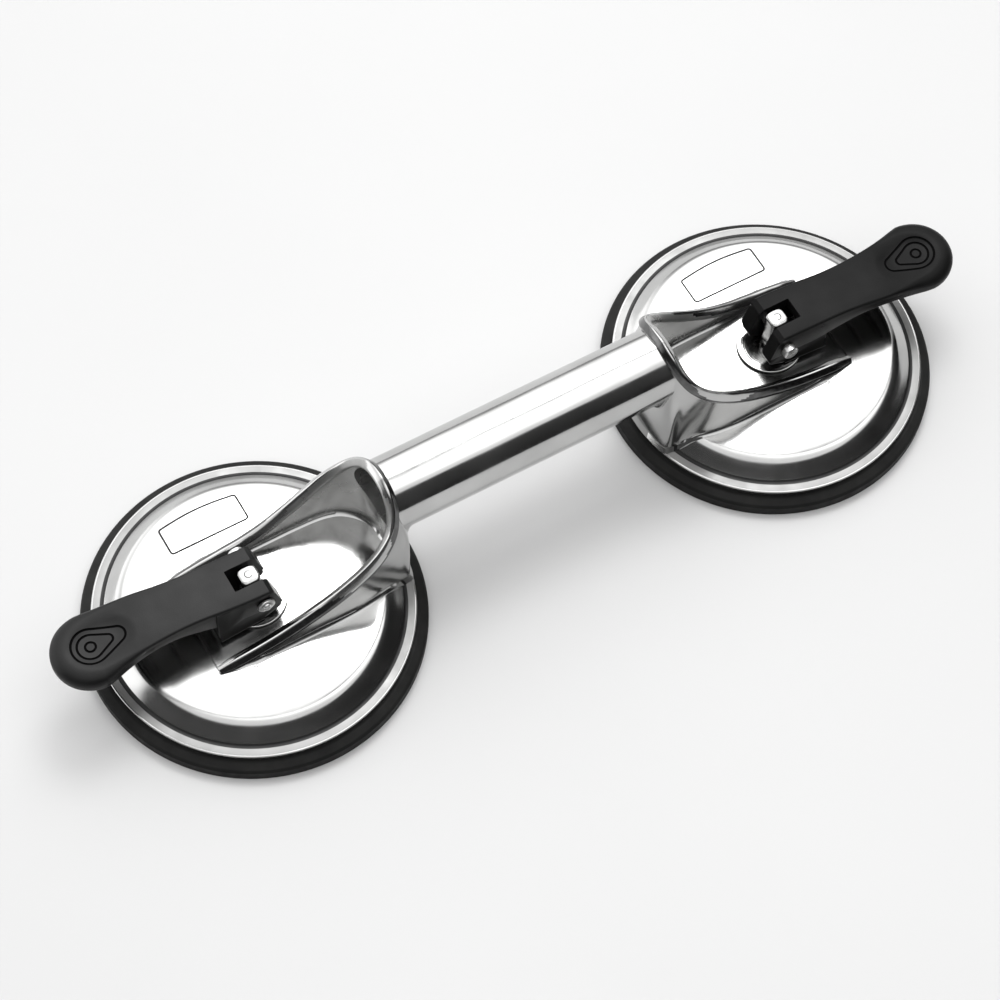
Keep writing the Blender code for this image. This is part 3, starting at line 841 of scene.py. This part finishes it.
def mark_unpolished_and_painted_shade_faces(casting):
    """Give the rims, nameplates, floors and insides of the horseshoes their own finish, and paint shade into
    the rim's inner corner.
    """
    finishes = (RIM_METAL, PAINTED_SHADE_METAL, LABEL, CAST_METAL, SATIN_METAL)
    rim, corner, label, inside, satin = [material_slot(casting, finish) for finish in finishes]
    for face in casting.data.polygons:
        if face.material_index != 0:
            continue
        x = abs(face.center.x) - HALF_SPACING
        y = face.center.y
        z = face.center.z
        radius = math.hypot(x, y)
        upward = face.normal.z
        if radius > CORNER_START and upward > 0.5 and RIM_TOP - RIM_BAND < z < RIM_TOP + RIM_BAND:
            # Painted shade in the rim's inner corner
            if radius < SATIN_RIM:
                face.material_index = corner
            elif radius < RIM_EDGE:
                face.material_index = rim
        elif LABEL_LOW[0] < x < LABEL_HIGH[0] and LABEL_LOW[1] < y < LABEL_HIGH[1] + LABEL_BULGE:
            if upward > 0.9:
                face.material_index = label
        elif upward > 0.98 and abs(z - PLATFORM_TOP) < 0.0002:
            face.material_index = satin
        elif z > PLATFORM_TOP + 0.0001 and x < INSIDE_END:
            middle = Vector((math.copysign(HALF_SPACING + INSIDE_AXIS, face.center.x), 0.0, 0.0))
            inward = (middle - Vector((face.center.x, y, 0.0))).dot(face.normal)
            if inward > 0.0 and upward < 0.65 and radius < INSIDE_REACH:
                face.material_index = inside


def make_casting():
    cup = make_disc()
    join(cup, make_platform())
    wall = join(make_wall(), make_bead())
    join(wall, make_gusset())
    join(cup, wall)
    hole = (STUD_HOLE, STUD_HOLE, PLATFORM_TOP + REACH)
    cut(cup, box("stud_hole", (-STUD_HOLE, -STUD_HOLE, 0.0), hole, ALUMINIUM, 0.0008))
    cut(cup, make_label_groove())
    cup.data.transform(Matrix.Translation((HALF_SPACING, 0.0, 0.0)))
    other_cup = mirrored(cup, "other_cup")
    casting = join(join(make_handle(), cup), other_cup)
    reach = HALF_SPACING - BORE_END
    for direction in (-1, 1):
        profile = [(0.0, BORE_FLOOR), (HANDLE_BORE - 0.0006, BORE_FLOOR), (HANDLE_BORE, BORE_FLOOR + 0.0006),
                   (HANDLE_BORE, reach), (0.0, reach)]
        bore = lathe("bore", profile, CAST_METAL, 96)
        turn = Matrix.Rotation(direction * math.pi / 2, 4, "Y")
        bore.data.transform(Matrix.Translation((0, 0, HANDLE_HEIGHT)) @ turn)
        cut(casting, bore)
    mark_unpolished_and_painted_shade_faces(casting)
    hand_over(casting, 0, "root", "casting")


# ---------------- pads

def make_skirt(name, side):
    """Outer part of the rubber pad: seat under the rim, sloping skirt and three contact ridges."""
    seat = RIM_BOTTOM - 0.0003
    upper = [(0.0492, 0.0046), (0.0499, seat), (0.0560, seat), (0.0583, 0.0051), (0.0590, 0.0042),
             (0.0590, 0.0003)]
    upper = rounded(upper, [0, 0.0002, 0.0008, 0.0007, 0.0006, 0.0002], closed=False)
    ridges = []
    for step in range(25):
        height = 0.00022 * (1 - abs(math.cos(math.pi * 4 * step / 24)))
        ridges.append((0.0588 - 0.0083 * step / 24, height))
    underside = [(0.0490, 0.0007), (0.0480, 0.0012), (0.0480, 0.0040)]
    skirt = lathe(f"pad_skirt_{name}", upper + ridges + underside, RUBBER, closed=True)
    hand_over(skirt, side, "root", f"suction_pad_{name}")


def make_membrane(name, side):
    """Middle of the pad, which the plate draws up and lets down again."""
    top = PAD_HIGH.z
    upper = [(0.0, top), (0.0372, top), (0.0400, top - 0.0010), (0.0440, 0.0054), (0.0475, 0.0043),
             (0.0487, 0.0040)]
    lower = [(0.0487, 0.0016), (0.0470, 0.0014), (0.0440, 0.0019), (0.0405, 0.0031), (0.0375, 0.0037)]
    rings = []
    for step in range(49):
        radius = 0.0365 * (1 - step / 48)
        rings.append((radius, 0.0038 + 0.0003 * max(math.sin(radius * 2 * math.pi / 0.0073), 0.0)))
    rings[-1] = (0.0, rings[-1][1])
    outline = rounded(upper, 0.0015, closed=False) + rounded(lower, 0.0012, closed=False) + rings
    membrane = lathe(f"pad_membrane_{name}", outline, RUBBER)
    hand_over(membrane, side, "root", f"suction_pad_{name}")
    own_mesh(membrane)


# ---------------- lever

def arm_place(position):
    """Distance, sideways shift, half width and underside at a place along the arm's stations."""
    return [float(number) for number in spline(ARM_STATIONS, position)]


def top_height(x, y):
    """Height of the lever's top face, hollowed by the finger dimple."""
    across = (x - DIMPLE_CENTRE[0]) / DIMPLE_SIZE[0]
    along = (y - DIMPLE_CENTRE[1]) / DIMPLE_SIZE[1]
    depth = 1 - (across * across + along * along)
    return LEVER_TOP - DIMPLE_DEPTH * smooth_step(depth * 1.25)


def lever_columns():
    """Outline points of the arm with their middle points and underside, from heel round the tip."""
    samples = 76
    turns = 40
    last = len(ARM_STATIONS) - 1
    straight = [arm_place(last * i / samples) for i in range(samples)]
    columns = [((x, shift + half), (x, shift), underside) for x, shift, half, underside in straight]
    for i in range(turns + 1):
        angle = math.pi / 2 - math.pi * i / turns
        edge = (TIP_CENTRE - TIP_MARGIN + TIP_RADIUS * math.cos(angle),
                TIP_SHIFT + TIP_RADIUS * math.sin(angle))
        columns.append((edge, (TIP_CENTRE, TIP_SHIFT), TIP_UNDERSIDE))
    for x, shift, half, underside in reversed(straight):
        columns.append(((x, shift - half), (x, shift), underside))
    return columns


def lever_profile(x, half, underside):
    """Section from the middle of the top, round the edge, to the middle of the underside.

    Each entry is a distance in from the outline and a height; None marks the top face."""
    nose = smooth_step((x - 0.040) / 0.024)
    soft = 0.0008 + 0.0042 * nose
    drop = 0.0008 + 0.0030 * nose
    lip = 1 - smooth_step((x - 0.034) / 0.012)
    groove = 0.0008 * lip
    side_top = LEVER_TOP - max(PLATE_THICKNESS, drop + 0.0001)
    low_edge = 0.0012 + 0.0022 * nose
    entries = [(half * share, None) for share in TOP_COLUMNS]
    for step in range(8):
        angle = math.pi / 2 * step / 7
        entries.append((soft * (1 - math.sin(angle)), LEVER_TOP - drop * (1 - math.cos(angle))))
    entries += [(0.0, side_top), (groove, side_top - 0.00015), (groove, side_top - 0.0005),
                (groove * 0.55, side_top - 0.0008 - 0.0002 * nose)]
    for step in range(6):
        angle = math.pi / 2 * step / 5
        entries.append((groove * 0.3 + low_edge * (1 - math.cos(angle)),
                        underside + low_edge * 0.8 * (1 - math.sin(angle))))
    entries += [(half * share, underside) for share in UNDERSIDE_COLUMNS]
    return entries


def make_arm():
    columns = lever_columns()
    points = []
    for edge, middle, underside in columns:
        inward = Vector(middle) - Vector(edge)
        half = inward.length
        inward.normalize()
        for inset, height in lever_profile(edge[0], half, underside):
            spot = Vector(edge) + inward * min(inset, half)
            z = top_height(spot.x, spot.y) if height is None else height
            shear = HEEL_SLOPE * (LEVER_TOP - z) * smooth_step((0.006 - spot.x) / 0.009)
            points.append((spot.x - shear, spot.y, z))
    rows = len(columns)
    count = len(points) // rows
    faces = grid_faces(rows, count)
    faces.append((*range(count), *reversed(range((rows - 1) * count, rows * count))))
    return mesh_object("arm", points, faces, PLASTIC)


def make_heel():
    """Forked base of the lever below its top plate."""
    outline = rounded(HEEL_OUTLINE, [0, 0.0008, 0.0008, 0.0014, 0.0006, 0.0006, 0])
    heel = soften(slab("heel", outline, CHEEK_HALF_WIDTH, PLASTIC), 0.0005, 2, 50)
    for direction in (-1, 1):
        join(heel, make_foot(direction))
    return heel


def heel_chamfer():
    """What comes off the heel's top edge."""
    low = LEVER_TOP - HEEL_CHAMFER
    high = LEVER_TOP + 0.0020
    outline = [(-0.0014, LEVER_TOP + 0.0004), (-0.0042, low), (-0.0100, low), (-0.0100, high),
               (-0.0014, high)]
    return slab("heel_chamfer", outline, REACH, PLASTIC)


def make_foot(direction):
    """Sloping foot along the bottom of a cheek, wider towards the arm."""
    sections = []
    for step in range(9):
        share = step / 8
        x = 0.0005 + 0.0166 * share
        side = CHEEK_HALF_WIDTH + (0.0004 + 0.0009 * share)
        top = 0.0182 + (0.0012 + 0.0022 * share)
        corners = [(FOOT_INSIDE, FOOT_BOTTOM), (side, FOOT_BOTTOM), (side, 0.0184),
                   (CHEEK_HALF_WIDTH - 0.0001, top), (FOOT_INSIDE, top)]
        section = rounded(corners, [0, 0.0002, 0.0002, 0, 0], 3)
        sections.append([(x, direction * y, z) for y, z in section])
    return loft("foot", sections, PLASTIC)


def teardrop(big, big_radius, small, small_radius):
    """Closed path round two circles of the finger grip, on the lever's top face."""
    lean = math.asin((big_radius - small_radius) / (big - small))
    arcs = ((big, big_radius, math.pi / 2 + lean, math.pi + 2 * lean, 44),
            (small, small_radius, -math.pi / 2 - lean, math.pi - 2 * lean, 22))
    outline = []
    for centre, radius, start, sweep, turns in arcs:
        for i in range(turns + 1):
            angle = start - sweep * i / turns
            outline.append((centre + radius * math.cos(angle), radius * math.sin(angle)))
    path = []
    for spot in dense(outline, 0.0009):
        y = spot.y + DIMPLE_CENTRE[1]
        path.append((spot.x, y, top_height(spot.x, y)))
    return path


def grip_grooves():
    """Two teardrops round a small ring."""
    big = TIP_CENTRE - 0.0003
    return [teardrop(big, 0.0064, 0.0487, 0.0029), teardrop(big, 0.0044, 0.0518, 0.0016),
            teardrop(big, 0.0017, big - 0.0002, 0.0016)]


def make_pocket(start, end):
    """Hollow under the arm, between two ribs."""
    samples = 14
    last = len(ARM_STATIONS) - 1
    xs, shifts, halves, _ = zip(*[arm_place(last * i / 400) for i in range(401)])
    near = []
    far = []
    for i in range(samples + 1):
        x = start + (end - start) * i / samples
        shift = float(np.interp(x, xs, shifts))
        half = float(np.interp(x, xs, halves))
        near.append((x, shift - half + POCKET_MARGIN))
        far.append((x, shift + half - POCKET_MARGIN))
    side_radii = [0.001] + [0] * (samples - 1) + [0.001]
    outline = rounded(near + far[::-1], side_radii * 2, 3)
    middle = Vector(((start + end) / 2, (near[7][1] + far[7][1]) / 2))
    sections = []
    for height, share in ((0.0200, 1.04), (0.0322, 0.97), (0.0326, 0.93)):
        sections.append([(*(middle + (Vector(point) - middle) * share), height) for point in outline])
    return loft("pocket", sections, PLASTIC)


def make_lever(name, side):
    lever = join(make_arm(), make_heel())
    lever.name = f"lever_finish_{name}"
    cut(lever, heel_chamfer())
    slot_low = (-REACH, -SLOT_HALF_WIDTH, 0.0)
    cut(lever, box("slot", slot_low, (SLOT_END, SLOT_HALF_WIDTH, 0.05), PLASTIC, 0.0004))
    cut(lever, box("heel_pocket", (0.0075, -0.0055, 0.0), (0.0150, 0.0055, 0.0310), PLASTIC, 0.0008))
    cut(lever, cross_bore(CROSS_HOLE_RADIUS, PLASTIC))
    for i in range(4):
        cut(lever, make_pocket(0.0202 + RIB_PITCH * i, 0.0284 + RIB_PITCH * i))
    for path in grip_grooves():
        cut(lever, closed_tube("grip_groove", path, GROOVE_RADIUS, GROOVE_BLACK, 10))
    # The right lever gets the glossier plastic with painted shade
    if name == "right":
        lever.data.materials[0] = GLOSSY_SHADED_PLASTIC
    hand_over(lever, side, f"lever_{name}", f"lever_{name}")


# ---------------- small steel parts

def cross_bore(radius, material):
    """Cutter for the pin's hole through a lever or a stud."""
    profile = [(0.0, -REACH), (radius, -REACH), (radius, REACH), (0.0, REACH)]
    bore = lathe("cross_bore", profile, material, 48, axis="Y")
    bore.data.transform(TO_PIN)
    return bore


def make_stud(name, side):
    """Square stud with rounded corners, a crowned top with a centre mark, and a threaded tail."""
    top = STUD_HIGH.z
    shoulder = top - 0.0012
    levels = [(CAVITY_TOP, 0.0), (shoulder, 0.0)]
    for step in range(1, 7):
        angle = math.pi / 2 * step / 6
        levels.append((shoulder + STUD_CROWN * math.sin(angle), STUD_CROWN * (1 - math.cos(angle))))
    levels += [(top - 0.00008, 0.0018), (top, 0.0026)]
    sections = []
    for height, inset in levels:
        size = STUD_HALF - inset
        corners = [(x * size + STUD_SHIFT, y * size) for x, y in ((-1, -1), (1, -1), (1, 1), (-1, 1))]
        sections.append([(x, y, height) for x, y in rounded(corners, min(0.0024, size * 0.95), 8)])
    stud = loft(f"stud_finish_{name}", sections, STEEL)
    # The centre mark is cut with the painted shade material, so its faces are painted dark as shade
    mark = [(0.0011, top - 0.0002), (0.00135, top - 0.0002), (0.0015, top + 0.0004), (0.0010, top + 0.0004)]
    ring = lathe("mark", mark, PAINTED_SHADE_METAL, 48, closed=True)
    ring.data.transform(Matrix.Translation((STUD_SHIFT, 0, 0)))
    cut(stud, ring)
    cut(stud, cross_bore(STUD_BORE_RADIUS, STEEL))
    tail = [(0.0, STUD_LOW.z)]
    for turn in range(int((CAVITY_TOP - STUD_LOW.z) / THREAD_PITCH)):
        start = STUD_LOW.z + turn * THREAD_PITCH
        tail += [(0.0035, start), (0.0040, start + THREAD_PITCH * 0.4), (0.0040, start + THREAD_PITCH * 0.55)]
    tail += [(0.0036, CAVITY_TOP - 0.0001), (0.0036, CAVITY_TOP + 0.001), (0.0, CAVITY_TOP + 0.001)]
    join(stud, lathe("tail", tail, STEEL, 64))
    hand_over(stud, side, f"stud_{name}", f"draw_stud_{name}")


def make_pin(name, side):
    """Cross pin: chamfered head at -Y, a groove for the clip and a domed end at +Y."""
    head = PIN_HEAD_RADIUS
    start = PIN_LOW.y
    dome = CLIP_HIGH.y + 0.0001
    profile = [(0.0, start + 0.0002), (0.0009, start + 0.0002), (0.0011, start), (head - 0.0004, start),
               (head, start + 0.0004), (head, PIN_HEAD_END - 0.0003), (head - 0.0003, PIN_HEAD_END),
               (PIN_RADIUS, PIN_HEAD_END), (PIN_RADIUS, CLIP_LOW.y - 0.0001),
               (PIN_GROOVE_RADIUS, CLIP_LOW.y), (PIN_GROOVE_RADIUS, CLIP_HIGH.y), (PIN_RADIUS, dome)]
    for step in range(1, 9):
        angle = math.radians(90 * step / 8)
        profile.append((PIN_RADIUS * math.cos(angle), dome + (PIN_HIGH.y - dome) * math.sin(angle)))
    profile[-1] = (0.0, PIN_HIGH.y)
    pin = lathe(f"pin_finish_{name}", profile, ZINC, 64, axis="Y")
    pin.data.transform(TO_PIN)
    hand_over(pin, side, f"stud_{name}", f"pivot_pin_{name}")


def ring_profile(inner, outer, low, high, radius):
    """Section of a flat ring with rounded edges."""
    corners = [(inner, low), (outer, low), (outer, high), (inner, high)]
    return rounded(corners, radius, 4)


def make_clip(name, side):
    """Spring ring snapped into the pin's groove, with its gap underneath."""
    profile = ring_profile(*CLIP_RADII, CLIP_LOW.y, CLIP_HIGH.y, 0.00022)
    clip = lathe(f"clip_finish_{name}", profile, ZINC, 64, closed=True, axis="Y")
    cut(clip, box("clip_gap", (-0.0006, 0.0, -0.006), (0.0006, 0.02, -0.0005), STEEL))
    clip.data.transform(TO_PIN)
    hand_over(clip, side, f"stud_{name}", f"pin_clip_{name}")


def make_washer(name, side):
    """Wear washer under the lever's heel, with painted shade on its edge."""
    radius = WASHER_HIGH.y
    profile = ring_profile(WASHER_BORE, radius, WASHER_LOW.z, WASHER_HIGH.z, 0.0003)
    washer = lathe(f"washer_finish_{name}", profile, TURNED, closed=True)
    # The washer's side faces near its rim get painted shade
    edge = material_slot(washer, PAINTED_SHADE_METAL)
    for face in washer.data.polygons:
        if face.normal.z < 0.8 and face.center.to_2d().length > radius - 0.001:
            face.material_index = edge
    hand_over(washer, side, "root", f"wear_washer_{name}")


def finish_hidden_nodes():
    """The plates and nuts inside the cups keep their CAD shape and get a proper steel."""
    for name, _ in SIDES:
        for node in (f"backing_plate_{name}", f"stud_nut_{name}"):
            item = frame["nodes"][node]
            item.data.materials.clear()
            item.data.materials.append(TURNED)


# ---------------- stage

CAMERA_AZIMUTH = math.radians(-33.44)
CAMERA_ELEVATION = math.radians(61.76)
CAMERA_ROLL = math.radians(4.03)
CAMERA_DISTANCE = 1.0462
CAMERA_TARGET = Vector((-0.0067, -0.0005, 0.0))
CAMERA_LENS = 108.1

SOFTBOX_DIRECTION = (0.26, 0.395, 0.88)
SOFTBOX_PLACE = (0.34, 0.51, 1.14)
SOFTBOX_SIZE = (0.5, 0.4)
SOFTBOX_POWER = 4.0
BOOM_PLACE = 0.10
FLOOR_HALF_SIZE = 4.0


def make_camera():
    data = bpy.data.cameras.new("camera")
    data.lens = CAMERA_LENS
    camera = new_object("camera", data)
    level = math.cos(CAMERA_ELEVATION)
    back = Vector((math.sin(CAMERA_AZIMUTH) * level, -math.cos(CAMERA_AZIMUTH) * level,
                   math.sin(CAMERA_ELEVATION)))
    right = Vector((math.cos(CAMERA_AZIMUTH), math.sin(CAMERA_AZIMUTH), 0.0))
    right = Matrix.Rotation(CAMERA_ROLL, 3, back) @ right
    up = back.cross(right)
    turn = Matrix((right, up, back)).transposed().to_4x4()
    camera.matrix_world = Matrix.Translation(CAMERA_TARGET + back * CAMERA_DISTANCE) @ turn
    bpy.context.scene.camera = camera


def make_floor():
    size = FLOOR_HALF_SIZE
    points = [(-size, -size, 0), (size, -size, 0), (size, size, 0), (-size, size, 0)]
    floor = mesh_object("floor", points, [(0, 1, 2, 3)], FLOOR)


def make_world():
    """A pale studio: bright overhead and behind the object, darker on the near side above the horizon."""
    world = bpy.data.worlds.new("studio")
    bpy.context.scene.world = world
    world.use_nodes = True
    tree = world.node_tree
    direction = tree.nodes.new("ShaderNodeTexCoord").outputs["Generated"]
    axes = add_node(tree, "ShaderNodeSeparateXYZ", {"Vector": direction}).outputs

    def ranged(value, low, high, start, end):
        remap = map_range(tree, value, low, high, start, end)
        remap.interpolation_type = "SMOOTHSTEP"
        return remap.outputs["Result"]

    def math_node(operation, first, second=0.0):
        node = add_node(tree, "ShaderNodeMath", {0: first, 1: second})
        node.operation = operation
        return node.outputs["Value"]

    facing = add_node(tree, "ShaderNodeVectorMath", {0: direction, 1: SOFTBOX_DIRECTION})
    facing.operation = "DOT_PRODUCT"
    softbox = ranged(facing.outputs["Value"], 0.62, 0.92, 1.15, 2.3)
    overhead = ranged(axes["Z"], 0.62, 0.76, 0.0, 1.0)
    behind = ranged(axes["Y"], 0.02, 0.30, 0.0, 1.0)
    lit = ranged(math_node("MAXIMUM", overhead, behind), 0.0, 1.0, 0.05, 1.0)
    horizon = ranged(axes["Z"], 0.20, 0.55, 1.0, 0.0)
    left_half = ranged(axes["X"], -0.25, 0.30, 0.75, -0.75)
    sky = math_node("ADD", softbox, math_node("MULTIPLY", horizon, left_half))
    from_boom = math_node("ABSOLUTE", math_node("SUBTRACT", axes["Y"], BOOM_PLACE))
    boom = ranged(from_boom, 0.015, 0.06, 0.12, 1.0)
    room = math_node("MULTIPLY", math_node("MULTIPLY", sky, lit), boom)
    set_inputs(tree.nodes["Background"], {"Color": (1.0, 1.0, 1.0, 1.0), "Strength": room})


def make_softbox():
    data = bpy.data.lights.new("softbox", "AREA")
    data.shape = "RECTANGLE"
    data.size, data.size_y = SOFTBOX_SIZE
    data.energy = SOFTBOX_POWER
    lamp = new_object("softbox", data)
    lamp.location = SOFTBOX_PLACE
    lamp.rotation_euler = (-Vector(SOFTBOX_PLACE)).to_track_quat("-Z", "Y").to_euler()


def main():
    make_camera()
    make_floor()
    make_world()
    make_softbox()
    bpy.context.scene.view_settings.view_transform = "Standard"
    make_casting()
    for name, side in SIDES:
        for make in (make_skirt, make_membrane, make_lever, make_stud, make_pin, make_clip, make_washer):
            make(name, side)
    finish_hidden_nodes()


main()
